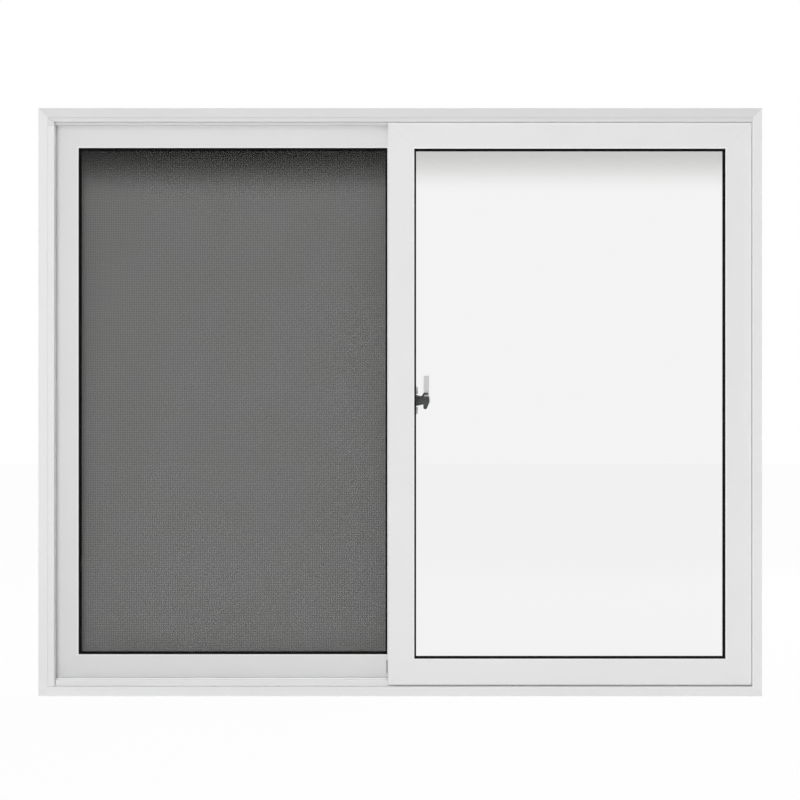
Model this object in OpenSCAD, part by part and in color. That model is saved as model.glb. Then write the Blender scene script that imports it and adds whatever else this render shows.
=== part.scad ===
// Sliding window of white PVC profiles: a mitred frame with upstanding rails, two glazed
// sashes that straddle the rails on rollers, and an insect screen on a third, small rail.
// The origin is on the floor under the middle of the sill, X runs along the window,
// Y runs away from the viewer through the wall, and Z is up.
// Every profile is drawn once, as a section of [depth, height above its outer edge].

/* [Window] */
// Overall width over the frame
win_w = 1200; // [900:10:1800]
// Overall height over the frame
win_h = 975; // [600:5:1400]

/* [Frame profile] */
// Thickness of the hollow base of the frame
base_t = 16; // [14:0.5:22]
// Height of the two running rails above the base
rail_rise = 10.5; // [10:0.5:13]
// Thickness of a running rail
rail_t = 10; // [9:0.5:11]
// Main wall of the extruded profiles
wall = 2.5; // [2:0.1:2.8]
// Inner webs and the walls of small chambers
web = 1.8; // [1.4:0.1:2.2]
// Depth of the base that shows in front of the front sash
front_lip = 6; // [4:0.5:12]
// Radius on the outer edges of the profiles
edge_r = 1.6; // [0.8:0.1:2.2]
// Thickness of the screen's rail
screen_rail_t = 3; // [2.4:0.1:3.4]
// Height of the screen's rail above the base
screen_rail_rise = 7; // [6:0.5:9]

/* [Sash profile] */
// Width of a sash profile seen from the front
sash_face = 43.5; // [42:0.5:56]
// Depth of a sash profile
sash_d = 36; // [36:0.5:44]
// Free depth between the two sashes
sash_gap = 6; // [5.5:0.1:8]
// Width of the groove that straddles a rail
groove_w = 18; // [17:0.25:19]
// Depth of that groove
groove_h = 17; // [16:0.25:18]
// Height of the lip and the bead over the glazing rebate
rebate_h = 16; // [15:0.5:18]
// Thickness of the fixed glazing lip
lip_t = 6; // [5:0.25:7]
// Width by which the meeting stiles cover each other
meet_overlap = 40; // [38:0.5:43.5]
// Gap left between a closed sash and its jamb
close_gap = 0.4; // [0.3:0.1:2]
// Height of the front sash above the base of the sill
sash_lift = 2; // [1.8:0.1:4]
// How much higher its rollers hold the rear sash
rear_lift = 4.25; // [0:0.25:4.5]
// How far the rear sash stands open from its jamb
rear_open = 2; // [0:0.25:3]
// Room above the closed front sash, for lifting it out
head_room = 7; // [6:0.25:8]

/* [Glazing] */
// Thickness of one glass pane
pane_t = 4; // [3:0.5:5]
// Width of the sealed space between the panes
cavity = 8; // [6:0.5:9]
// Thickness of a glazing gasket
gasket_t = 3; // [2.5:0.1:3.2]
// Width of gasket that shows past the lip or the bead
gasket_show = 3; // [1.5:0.1:3.2]
// Clearance between the edge of the glass and its rebate
glass_clear = 3.5; // [2:0.1:5]
// Height of the spacer bar round the sealed space
spacer_h = 6.5; // [5:0.5:7]

/* [Running gear] */
// Thickness of the aluminium cap on the sill rails
cap_t = 0.6; // [0.5:0.1:1.2]
// Height of the cap's running crown
crown_h = 1.2; // [1:0.1:1.6]
// Running radius of a roller
tread_r = 5.5; // [5:0.1:5.6]
// Height of the roller's flanges over its tread
flange_h = 1.2; // [1:0.1:1.3]
// Width of a roller
wheel_w = 7.5; // [7:0.25:8]
// Radius of the roller's pin
pin_r = 1.5; // [1.2:0.1:1.8]
// Length of a roller carriage
carriage_l = 60; // [45:1:80]
// Width of a roller carriage
carriage_w = 12; // [11.5:0.25:12.5]
// Distance from the sash's end to the middle of a carriage
carriage_inset = 95; // [85:1:130]

/* [Latch] */
// Height of the latch's turning axis above the sill
latch_z = 490.3; // [400:0.1:560]
// Radius of the latch's drum where it meets the base plate
barrel_r = 9.7; // [8:0.1:11]
// Radius of the hub that the drum narrows to
hub_r = 6.8; // [6:0.1:7.4]
// Length of the latch, from its seat to the end of the cam
latch_l = 25.5; // [20:0.1:30]
// Thickness of the latch's base plate
latch_plate_t = 2; // [1.6:0.1:3]
// Thickness of the crescent cam
cam_t = 10.1; // [8:0.1:11]
// Thickness of the cam's claw, measured outwards
claw_t = 3.2; // [2.5:0.1:4]
// Thickness of the keeper plate
keeper_t = 1.2; // [1:0.1:1.3]
// Height of the lever's tip above the latch's axis
lever_reach = 41.6; // [30:0.2:60]

/* [Screen] */
// Depth of the screen's bars
screen_d = 12; // [10:0.5:13]
// Width of the screen's bars
screen_face = 24; // [20:0.5:30]
// Gap between the rear sash and the screen
screen_gap = 3.5; // [2:0.25:6]
// Thickness of the mesh sheet
mesh_t = 0.8; // [0.5:0.1:1]
// Width of the groove that holds the mesh's cord
spline_w = 4; // [3.5:0.1:4.5]

/* [Fixings] */
// Radius of the fixing holes through the jambs
fix_r = 4; // [3:0.25:5]
// Distance from the end of a jamb to its fixing hole
fix_inset = 137.5; // [110:0.5:200]

/* [Hidden] */

// Steps in each rounded corner of a section
arc_steps = 4;
// Steps along the crescent cam's claw
cam_steps = 14;
// Small clearances: a press seat, a running gap, and the reach of a cutting tool past a face
seat = 0.1;
run_gap = 0.3;
past = 1;

// Depth stations, from the front face of the frame
frame_d = front_lip + 2 * sash_d + sash_gap + screen_gap + screen_d + 0.5;
front_y = -frame_d / 2 + front_lip + sash_d / 2;
rear_y = front_y + sash_d + sash_gap;
screen_y = rear_y + sash_d / 2 + screen_gap + screen_d / 2;
rail_h = base_t + rail_rise;
head_fill = head_room - 0.3;

// Sashes: outer size, and the middle and foot of each
sash_w = win_w / 2 - base_t - close_gap + meet_overlap / 2;
sash_h = win_h - 2 * base_t - sash_lift - head_room;
front_x = win_w / 2 - base_t - close_gap - sash_w / 2;
rear_x = -win_w / 2 + base_t + close_gap + rear_open + sash_w / 2;
front_z = base_t + sash_lift;
rear_z = front_z + rear_lift;

// Glazing stations, from the middle of the sash profile
lip_y = -sash_d / 2 + lip_t;
glass_y = lip_y + gasket_t;
unit_t = 2 * pane_t + cavity;
bead_y = glass_y + unit_t + gasket_t;
rebate_z = sash_face - rebate_h;
glass_edge = rebate_z + glass_clear;
foot_w = 2.4;
foot_h = 2.8;
foot_y = (bead_y + sash_d / 2) / 2;

// Brush seals in the legs of the groove
slot_z = 4.7;
slot_mouth = 3;
slot_w = 5.6;
slot_in = 1;
slot_d = 1.6;
pile_t = 2.4;

// Running gear
cap_z = rail_h + cap_t;
crown_w = 5;
axle_z = cap_z + crown_h + seat + tread_r;
flange_r = tread_r + flange_h;
carriage_z = cap_z + run_gap + seat;
pocket_top = rebate_z - wall;

// Interlocks
hook_t = 1.1;
hook_clear = 0.6;
plug_leg = 9;
hook_reach = (sash_gap + 2 * hook_t + hook_clear) / 2;
hook_leg = meet_overlap / 3;
hook_tip = meet_overlap / 2 + 4;
interlock_l = sash_h - 2 * (groove_h + past);

// Latch: its base lies on the rear interlock, at the edge of the rear meeting stile
latch_x = rear_x + sash_w / 2 + hook_t;
latch_y = rear_y - sash_d / 2 + barrel_r;
claw_gap = 0.6;
keeper_y = front_y + sash_d / 2;
claw_in = latch_y - keeper_y + claw_gap;
claw_out = claw_in + claw_t;
cam_x = latch_x + latch_l - cam_t;
spindle_r = 2.6;
spindle_head_r = 4.2;
spindle_head_t = 0.8;
keeper_tongue_h = 8;
lever_w = 9.3;
lever_t = 3.4;
tang_w = 5;
tang_t = 2.2;
tang_z = 3.8;

// Screen
screen_groove_w = screen_rail_t + 1.2;
screen_groove_h = screen_rail_rise - 1.4;
screen_z = base_t + screen_rail_rise - screen_groove_h + seat;
screen_h = win_h - base_t - 4 - screen_z;
screen_left = -win_w / 2 + base_t + 2;
screen_right = rear_x + sash_w / 2 - 2;
screen_w = screen_right - screen_left;
screen_x = (screen_left + screen_right) / 2;
spline_z = screen_face - 3 - spline_w;
screen_wall = 1.2;

// Colours, as the object shows them
white_pvc = [0.94, 0.95, 0.94];
black_rubber = [0.1, 0.1, 0.1];
mill_aluminium = [0.78, 0.79, 0.8];
dark_metal = [0.25, 0.26, 0.27];
pale_plastic = [0.8, 0.82, 0.83];
clear_glass = [0.8, 0.88, 0.88, 0.35];
mesh_grey = [0.38, 0.39, 0.38];

// Outline helpers: each path point is [x, y, corner radius]
function unit(v) = v / norm(v);
function xy(p) = [p[0], p[1]];
function corner(a, b, c, r) =
    r == 0 ? [b] :
    let (
        p = unit(a - b),
        q = unit(c - b),
        half = acos(p * q) / 2,
        m = b + unit(p + q) * r / sin(half),
        s = b + p * r / tan(half) - m,
        e = b + q * r / tan(half) - m,
        start = atan2(s[1], s[0]),
        turn = atan2(s[0] * e[1] - s[1] * e[0], s * e)
    )
    [for (i = [0:arc_steps]) m + r * [cos(start + turn * i / arc_steps), sin(start + turn * i / arc_steps)]];
function rounded(path) =
    let (n = len(path))
    [for (i = [0:n - 1]) each corner(xy(path[(i + n - 1) % n]), xy(path[i]), xy(path[(i + 1) % n]), path[i][2])];

function polar(r, a) = r * [cos(a), sin(a)];
function arc(r, a0, a1) = [for (i = [0:cam_steps]) polar(r, a0 + (a1 - a0) * i / cam_steps)];

// A bar along X with its section's outer edge at Z = 0, cut at 45 degrees at both ends
module mitred_bar(length, reach) {
    half = length / 2;
    intersection() {
        rotate([90, 0, 90])
            linear_extrude(height = length, center = true)
                children();
        rotate([90, 0, 0])
            linear_extrude(height = 2 * frame_d, center = true)
                polygon([[-half, 0], [half, 0], [half - reach, reach], [-half + reach, reach]]);
    }
}

// A straight bar along X with square ends
module square_bar(length) {
    rotate([90, 0, 90])
        linear_extrude(height = length, center = true)
            children();
}

// Moves a bar from the foot of a w by h ring to one of its four sides
module on_side(side, w, h) {
    if (side == "bottom") children();
    if (side == "top") translate([0, 0, h]) rotate([0, 180, 0]) children();
    if (side == "left") translate([-w / 2, 0, h / 2]) rotate([0, 90, 0]) children();
    if (side == "right") translate([w / 2, 0, h / 2]) rotate([0, -90, 0]) children();
}

function side_length(side, w, h) = (side == "bottom" || side == "top") ? w : h;

// Frame

module rail_chamber(y) {
    translate([y - rail_t / 2 + web, base_t])
        square([rail_t - 2 * web, rail_rise - wall]);
}

module frame_section() {
    lo = -frame_d / 2;
    hi = frame_d / 2;
    half = rail_t / 2;
    tongue = screen_rail_t / 2;
    webs = [front_y, (front_y + rear_y) / 2, rear_y, screen_y - tongue];
    difference() {
        polygon(rounded([
            [lo, 0, 0], [lo, base_t, edge_r],
            [front_y - half, base_t, 0], [front_y - half, rail_h, edge_r],
            [front_y + half, rail_h, edge_r], [front_y + half, base_t, 0],
            [rear_y - half, base_t, 0], [rear_y - half, rail_h, edge_r],
            [rear_y + half, rail_h, edge_r], [rear_y + half, base_t, 0],
            [screen_y - tongue, base_t, 0], [screen_y - tongue, base_t + screen_rail_rise, edge_r / 2],
            [screen_y + tongue, base_t + screen_rail_rise, edge_r / 2], [screen_y + tongue, base_t, 0],
            [hi, base_t, edge_r], [hi, 0, 0]
        ]));
        for (i = [0:len(webs)]) {
            from = i == 0 ? lo + wall : webs[i - 1] + web / 2;
            to = i == len(webs) ? hi - wall : webs[i] - web / 2;
            translate([from, wall]) square([to - from, base_t - 2 * wall]);
        }
        rail_chamber(front_y);
        rail_chamber(rear_y);
    }
}

module frame_side(side) {
    color(white_pvc)
        on_side(side, win_w, win_h)
            mitred_bar(side_length(side, win_w, win_h), rail_h + past)
                frame_section();
}

// Two fixing holes through the base of a jamb, in the bay that its sash leaves free
module fixing_holes(x, y) {
    for (z = [fix_inset, win_h - fix_inset])
        translate([x, y, z])
            rotate([0, 90, 0])
                cylinder(h = 2 * base_t + 2 * past, r = fix_r, center = true, $fn = 48);
}

left_fix_y = (front_y + rail_t / 2 + rear_y - sash_d / 2) / 2;
right_fix_y = (front_y + sash_d / 2 + rear_y - rail_t / 2) / 2;

// Drains: slots in the floors of the tracks, and a way out through the webs and the rear face
module drain_slots() {
    slot_l = 28;
    from = front_y + rail_t / 2 + 3;
    for (dir = [-1, 1])
        translate([dir * win_w / 4 - slot_l / 2, 0, 0]) {
            translate([0, from, wall + 1]) cube([slot_l, frame_d, 5]);
            for (y = [from, rear_y - rail_t / 2 - 7, rear_y + rail_t / 2 + 3])
                translate([0, y, base_t - wall - past]) cube([slot_l, 4, wall + 2 * past]);
        }
}

module frame_head() frame_side("top");
module frame_sill() {
    color(white_pvc)
        difference() {
            frame_side("bottom");
            drain_slots();
        }
}
module frame_left_jamb() {
    color(white_pvc)
        difference() {
            frame_side("left");
            fixing_holes(-win_w / 2, left_fix_y);
        }
}
module frame_right_jamb() {
    color(white_pvc)
        difference() {
            frame_side("right");
            fixing_holes(win_w / 2, right_fix_y);
        }
}

// Snap-in channel that closes the front track where no sash runs in it
module filler_section(h) {
    lo = -frame_d / 2;
    back = front_y - rail_t / 2 - seat;
    difference() {
        polygon(rounded([[lo, 0, 0], [lo, h, edge_r], [back, h, edge_r / 2], [back, 0, 0]]));
        translate([lo + web, -past]) square([back - lo - 2 * web, h - web + past]);
    }
}

// The head's filler keeps the sash from being lifted out, the left jamb's covers its unused rail
module track_fillers() {
    w = win_w / 2 - base_t - seat;
    top = win_h - base_t;
    low = top - head_fill;
    in = w - rail_rise;
    color(white_pvc) {
        intersection() {
            on_side("top", win_w, win_h) square_bar(2 * w) translate([0, base_t]) filler_section(head_fill);
            rotate([90, 0, 0])
                linear_extrude(height = 2 * frame_d, center = true)
                    polygon([[-w, top], [w, top], [w, low - past], [-in, low - past], [-in, low]]);
        }
        intersection() {
            on_side("left", win_w, win_h) square_bar(2 * top) translate([0, base_t]) filler_section(rail_rise);
            rotate([90, 0, 0])
                linear_extrude(height = 2 * frame_d, center = true)
                    polygon([
                        [-w - 1, base_t + seat], [1 - in, base_t + seat], [1 - in, low - run_gap],
                        [-in, low - run_gap], [-w, top - run_gap], [-w - 1, top - run_gap]
                    ]);
        }
    }
}

// Aluminium running strip with a crowned track, on a sill rail
module rail_cap(y) {
    color(mill_aluminium)
        translate([0, y, rail_h])
            square_bar(win_w - 2 * rail_h - 2)
                polygon(rounded([
                    [-rail_t / 2 + edge_r, 0, 0], [-rail_t / 2 + edge_r, cap_t, 0],
                    [-crown_w / 2, cap_t, 0], [-crown_w / 2 + 0.6, cap_t + crown_h, crown_h * 0.6],
                    [crown_w / 2 - 0.6, cap_t + crown_h, crown_h * 0.6], [crown_w / 2, cap_t, 0],
                    [rail_t / 2 - edge_r, cap_t, 0], [rail_t / 2 - edge_r, 0, 0]
                ]));
}

// Sashes

// The slot for a brush seal, cut into the leg on one side of the groove
module brush_slot(dir) {
    face = groove_w / 2;
    scale([dir, 1]) {
        translate([face - past, slot_z - slot_mouth / 2]) square([slot_in + past, slot_mouth]);
        translate([face + slot_in, slot_z - slot_w / 2]) square([slot_d, slot_w]);
    }
}

module sash_section() {
    half = sash_d / 2;
    g = groove_w / 2;
    leg_out = half - wall;
    leg_in = g + web;
    leg_low = slot_z + slot_w / 2 + web;
    difference() {
        polygon(rounded([
            [-half, 0, edge_r], [-half, sash_face, edge_r],
            [lip_y, sash_face, edge_r / 2], [lip_y, rebate_z, 0],
            [half, rebate_z, 0], [half, 0, edge_r],
            [g, 0, edge_r / 2], [g, groove_h, 0],
            [-g, groove_h, 0], [-g, 0, edge_r / 2]
        ]));
        for (dir = [-1, 1]) brush_slot(dir);
        translate([-leg_out, leg_low]) square([leg_out - leg_in, rebate_z - wall - leg_low]);
        translate([leg_in, leg_low]) square([leg_out - leg_in, rebate_z - foot_h - web - leg_low]);
        translate([-g, groove_h + web]) square([2 * g, rebate_z - wall - groove_h - web]);
        translate([foot_y - foot_w / 2, rebate_z - foot_h]) square([foot_w, foot_h + past]);
    }
}

module sash_side(side, x, y, z) {
    color(white_pvc)
        translate([x, y, z])
            on_side(side, sash_w, sash_h)
                mitred_bar(side_length(side, sash_w, sash_h), sash_face + past)
                    sash_section();
}

// The bottom rail has a pocket for each roller carriage
module sash_bottom(x, y, z) {
    color(white_pvc)
        difference() {
            sash_side("bottom", x, y, z);
            for (dir = [-1, 1])
                translate([
                    x + dir * (sash_w / 2 - carriage_inset) - carriage_l / 2 - run_gap,
                    y - carriage_w / 2 - seat,
                    z + groove_h - past
                ])
                    cube([carriage_l + 2 * run_gap, carriage_w + 2 * seat, pocket_top - groove_h + past]);
        }
}

module pane(x, y, z) {
    color(clear_glass)
        translate([x - sash_w / 2 + glass_edge, y, z + glass_edge])
            cube([sash_w - 2 * glass_edge, pane_t, sash_h - 2 * glass_edge]);
}

// A closed ring in a sash from one section
module sash_ring(x, y, z) {
    translate([x, y, z])
        for (side = ["bottom", "top", "left", "right"])
            on_side(side, sash_w, sash_h)
                mitred_bar(side_length(side, sash_w, sash_h), sash_face + 10)
                    children();
}

module glass_spacer(x, y, z) {
    low = sash_face - 1.5 - spacer_h;
    from = glass_y + pane_t;
    color(mill_aluminium)
        sash_ring(x, y, z)
            polygon([
                [from, low], [from + cavity, low], [from + cavity, low + spacer_h],
                [from + cavity - 1.5, low + spacer_h], [from + cavity - 2.2, low + spacer_h - 0.6],
                [from + 2.2, low + spacer_h - 0.6], [from + 1.5, low + spacer_h], [from, low + spacer_h]
            ]);
}

// The outer gasket under the lip and the inner one under the bead, each with a rounded nose
module gasket_section() {
    low = glass_edge + 2;
    top = sash_face + gasket_show;
    polygon(rounded([
        [lip_y, low, 0], [glass_y, low, 0], [glass_y, top, 0.4], [glass_y - 1.4, top, 0.8],
        [lip_y - 0.4, sash_face + 0.6, 0.3], [lip_y - 0.4, sash_face, 0], [lip_y, sash_face, 0]
    ]));
}

module gaskets(x, y, z) {
    color(black_rubber) {
        sash_ring(x, y, z) gasket_section();
        sash_ring(x, y, z)
            translate([glass_y + unit_t + glass_y, 0]) scale([-1, 1]) gasket_section();
    }
}

// Snap-in bead with its foot, its hollow and its sloping face
module bead_section() {
    half = sash_d / 2;
    difference() {
        union() {
            polygon(rounded([
                [bead_y, rebate_z, 0], [half, rebate_z, 0], [half, sash_face - 7, edge_r],
                [bead_y + 3.4, sash_face, edge_r], [bead_y, sash_face, 0]
            ]));
            translate([foot_y - foot_w / 2 + seat, rebate_z - foot_h + seat])
                square([foot_w - 2 * seat, foot_h]);
        }
        translate([bead_y + web, rebate_z + web])
            square([sash_d / 2 - bead_y - 2 * web, rebate_h - 7 - 2 * web]);
    }
}

module beads(sides, x, y, z) {
    color(white_pvc)
        translate([x, y, z])
            for (side = sides)
                on_side(side, sash_w, sash_h)
                    mitred_bar(side_length(side, sash_w, sash_h), sash_face + past)
                        bead_section();
}

// Adapter that plugs the meeting stile's groove and hooks into its twin on the other sash
module interlock_section() {
    half = sash_d / 2;
    plug = groove_w / 2 - seat;
    reach = half + hook_reach;
    polygon([
        [-plug, -hook_t], [half + hook_t, -hook_t], [half + hook_t, hook_leg],
        [reach, hook_leg], [reach, hook_tip], [reach - hook_t, hook_tip],
        [reach - hook_t, hook_leg + hook_t], [half, hook_leg + hook_t], [half, 0],
        [plug, 0], [plug, plug_leg], [plug - hook_t, plug_leg],
        [plug - hook_t, 0], [-plug + hook_t, 0], [-plug + hook_t, plug_leg], [-plug, plug_leg]
    ]);
}

// Brush strips in both legs of the groove, on the sides of the sash that meet the frame
module brush_section() {
    face = groove_w / 2;
    tip = rail_t / 2 + run_gap;
    polygon([
        [tip, slot_z - pile_t / 2], [face + slot_in + seat, slot_z - pile_t / 2],
        [face + slot_in + seat, slot_z - slot_w / 2 + seat], [face + slot_in + slot_d, slot_z - slot_w / 2 + seat],
        [face + slot_in + slot_d, slot_z + slot_w / 2 - seat], [face + slot_in + seat, slot_z + slot_w / 2 - seat],
        [face + slot_in + seat, slot_z + pile_t / 2], [tip, slot_z + pile_t / 2]
    ]);
}

module brush_seals(sides, x, y, z) {
    color([0.45, 0.46, 0.47])
        translate([x, y, z])
            for (side = sides, dir = [-1, 1])
                on_side(side, sash_w, sash_h)
                    square_bar(side_length(side, sash_w, sash_h) - 2 * (slot_z + slot_w))
                        scale([dir, 1]) brush_section();
}

// Running gear

module carriages(x, y, z) {
    slot_l = 2 * flange_r + 2;
    low = z - front_z + carriage_z;
    top = z + pocket_top - seat;
    color([0.3, 0.3, 0.31])
        for (dir = [-1, 1])
            translate([x + dir * (sash_w / 2 - carriage_inset), y, 0]) {
                difference() {
                    translate([-carriage_l / 2, -carriage_w / 2, low])
                        cube([carriage_l, carriage_w, top - low]);
                    translate([-slot_l / 2, -wheel_w / 2 - run_gap, low - past])
                        cube([slot_l, wheel_w + 2 * run_gap, top]);
                    translate([-carriage_l / 2 - past, -crown_w / 2 - run_gap, low - past])
                        cube([carriage_l + 2 * past, crown_w + 2 * run_gap, crown_h + run_gap + past]);
                }
                translate([0, 0, axle_z])
                    rotate([90, 0, 0])
                        cylinder(h = carriage_w, r = pin_r, center = true, $fn = 32);
            }
}

module wheels(x, y) {
    half = wheel_w / 2;
    color([0.85, 0.85, 0.82])
        for (dir = [-1, 1])
            translate([x + dir * (sash_w / 2 - carriage_inset), y, axle_z])
                rotate([90, 0, 0])
                    rotate_extrude($fn = 64)
                        polygon([
                            [pin_r + seat, -half], [flange_r, -half], [flange_r, -half + 0.7],
                            [tread_r, -crown_w / 2 + 0.9], [tread_r, crown_w / 2 - 0.9],
                            [flange_r, half - 0.7], [flange_r, half], [pin_r + seat, half]
                        ]);
}

// Latch

// Base: a cast plate with rounded ends, bosses with countersunk screw holes, and the riveted spindle
module latch_base() {
    boss_r = 5.9;
    boss_h = 4.4;
    screw_z = barrel_r + 1.2 + boss_r;
    plate_h = 2 * (screw_z + boss_r + 0.5);
    color(pale_plastic) {
        difference() {
            union() {
                translate([latch_x, latch_y, latch_z])
                    rotate([90, 0, 90])
                        linear_extrude(height = latch_plate_t)
                            polygon(rounded([
                                [-barrel_r, -plate_h / 2, 6], [barrel_r, -plate_h / 2, 6],
                                [barrel_r, plate_h / 2, 6], [-barrel_r, plate_h / 2, 6]
                            ]));
                for (dir = [-1, 1])
                    translate([latch_x, latch_y, latch_z + dir * screw_z])
                        rotate([0, 90, 0])
                            cylinder(h = latch_plate_t + boss_h, r = boss_r, $fn = 48);
            }
            for (dir = [-1, 1])
                translate([latch_x, latch_y, latch_z + dir * screw_z])
                    rotate([0, 90, 0]) {
                        translate([0, 0, -past])
                            cylinder(h = latch_plate_t + boss_h + 2 * past, r = 2.2, $fn = 32);
                        translate([0, 0, latch_plate_t + boss_h - 2])
                            cylinder(h = 2 + seat, r1 = 2.2, r2 = 4.2 + seat, $fn = 32);
                    }
        }
        translate([latch_x + latch_plate_t, latch_y, latch_z])
            rotate([0, 90, 0]) {
                cylinder(h = latch_l - latch_plate_t + seat + spindle_head_t, r = spindle_r, $fn = 48);
                translate([0, 0, latch_l - latch_plate_t + seat])
                    cylinder(h = spindle_head_t, r = spindle_head_r, $fn = 48);
            }
    }
}

// Crescent cam: a tapered drum, a hub with a slot for the lever's tang, a claw that passes in
// front of the keeper's tongue and narrows to its tip, and the finger that holds the lever
module latch_cam() {
    from = 162;
    to = 232;
    web_a = 24;
    root = hub_r - 1.5;
    drum_l = cam_x - latch_x - latch_plate_t - run_gap;
    tip = -14.4;
    color(dark_metal)
        translate([cam_x, latch_y, latch_z])
            difference() {
                union() {
                    translate([-drum_l, 0, 0])
                        rotate([0, 90, 0])
                            cylinder(h = drum_l, r1 = barrel_r, r2 = hub_r, $fn = 64);
                    intersection() {
                        rotate([90, 0, 90])
                            linear_extrude(height = cam_t) {
                                circle(r = hub_r, $fn = 64);
                                polygon(concat(
                                    arc(claw_out, from, to),
                                    [polar(root, to), polar(root, to - web_a)],
                                    arc(claw_in, to - web_a, from)
                                ));
                            }
                        rotate([90, 0, 0])
                            linear_extrude(height = 4 * claw_out, center = true)
                                polygon(rounded([
                                    [-past, hub_r + past, 0], [-past, -hub_r, 0], [0.2, -hub_r, 0],
                                    [0.4, tip, 2], [cam_t / 2 + 0.6, tip, 2.2], [cam_t, -3.5, 2],
                                    [cam_t + past, -3.5 + past, 0], [cam_t + past, hub_r + past, 0]
                                ]));
                    }
                    rotate([90, 0, 0])
                        translate([0, 0, lever_t / 2 + run_gap])
                            linear_extrude(height = 2.6)
                                polygon([
                                    [-4.2, 5.8], [-1.6, 8.9], [1.1, 13.3], [8.1, 12.9],
                                    [8.1, 9.5], [2.4, 9.5], [0.3, 4.5]
                                ]);
                }
                translate([-drum_l - past, 0, 0])
                    rotate([0, 90, 0])
                        cylinder(h = drum_l + cam_t + 2 * past, r = spindle_r + seat, $fn = 48);
                translate([cam_t / 2 - tang_w / 2 - seat + 0.3, -tang_t / 2 - seat, tang_z - seat])
                    cube([tang_w + 2 * seat, tang_t + 2 * seat, hub_r]);
            }
}

// Lever: a flat grip with flutes on both faces, and a tang that sits in the hub's slot
module latch_lever() {
    foot = hub_r + seat;
    color(pale_plastic)
        translate([cam_x + cam_t / 2 + 0.3, latch_y, latch_z])
            difference() {
                union() {
                    translate([-lever_w / 2, -lever_t / 2, foot]) cube([lever_w, lever_t, lever_reach - foot]);
                    translate([-tang_w / 2, -tang_t / 2, tang_z]) cube([tang_w, tang_t, foot]);
                }
                for (i = [-1:1], dir = [-1, 1])
                    translate([i * 2.7, dir * (lever_t / 2 + 0.5), 16])
                        cylinder(h = lever_reach, r = 1, $fn = 24);
                for (dir = [-1, 1])
                    translate([dir * lever_w / 2, 0, lever_reach])
                        rotate([0, 45, 0])
                            cube([1.4, 2 * lever_t, 1.4], center = true);
            }
}

// Keeper: a plate on the back of the front meeting stile with a tongue for the claw
module latch_keeper() {
    from = front_x - sash_w / 2 + meet_overlap / 2 + hook_leg - 2.5;
    body_to = front_x - sash_w / 2 + rebate_z + 12;
    tongue_to = cam_x + cam_t;
    color(dark_metal)
        difference() {
            union() {
                translate([from, keeper_y, latch_z - 20]) cube([body_to - from, keeper_t, 40]);
                translate([from, keeper_y, latch_z - keeper_tongue_h / 2])
                    cube([tongue_to - from, keeper_t, keeper_tongue_h]);
            }
            for (dir = [-1, 1])
                translate([from + 6, keeper_y - past, latch_z + dir * 13])
                    rotate([-90, 0, 0])
                        cylinder(h = keeper_t + 2 * past, r = 1.9, $fn = 32);
        }
}

// Screen

module screen_section() {
    half = screen_d / 2;
    g = screen_groove_w / 2;
    difference() {
        polygon(rounded([
            [-half, 0, 0], [-half, screen_face, 0.8], [half - mesh_t, screen_face, 0],
            [half - mesh_t, spline_z + spline_w, 0], [half - spline_w, spline_z + spline_w, 0],
            [half - spline_w, spline_z, 0], [half, spline_z, 0.4], [half, 0, 0],
            [g, 0, 0], [g, screen_groove_h, 0], [-g, screen_groove_h, 0], [-g, 0, 0]
        ]));
        translate([-half + screen_wall, screen_groove_h + screen_wall])
            square([screen_d - 2 * screen_wall, spline_z - screen_groove_h - 2 * screen_wall]);
        translate([-half + screen_wall, spline_z])
            square([screen_d - spline_w - 2 * screen_wall, screen_face - spline_z - screen_wall]);
    }
}

module screen_side(side) {
    color(white_pvc)
        translate([screen_x, screen_y, screen_z])
            on_side(side, screen_w, screen_h)
                mitred_bar(side_length(side, screen_w, screen_h), screen_face + past)
                    screen_section();
}

module screen_mesh() {
    inset = spline_z + spline_w;
    color(mesh_grey)
        translate([screen_x - screen_w / 2 + inset, screen_y + screen_d / 2 - mesh_t, screen_z + inset])
            cube([screen_w - 2 * inset, mesh_t, screen_h - 2 * inset]);
}

// Cord pressed into the screen's groove, all the way round
module screen_spline() {
    half = screen_d / 2;
    color(black_rubber)
        translate([screen_x, screen_y, screen_z])
            for (side = ["bottom", "top", "left", "right"])
                on_side(side, screen_w, screen_h)
                    mitred_bar(side_length(side, screen_w, screen_h), screen_face)
                        translate([half - spline_w, spline_z + seat])
                            polygon(rounded([
                                [0, 0, 1], [spline_w - 0.6, 0, 1],
                                [spline_w - 0.6, spline_w - 2 * seat, 1], [0, spline_w - 2 * seat, 1]
                            ]));
}

module front_interlock() {
    color(mill_aluminium)
        translate([front_x, front_y, front_z])
            on_side("left", sash_w, sash_h)
                square_bar(interlock_l)
                    interlock_section();
}

module rear_interlock() {
    color(mill_aluminium)
        translate([rear_x, rear_y, rear_z])
            on_side("right", sash_w, sash_h)
                square_bar(interlock_l)
                    scale([-1, 1]) interlock_section();
}

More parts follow.
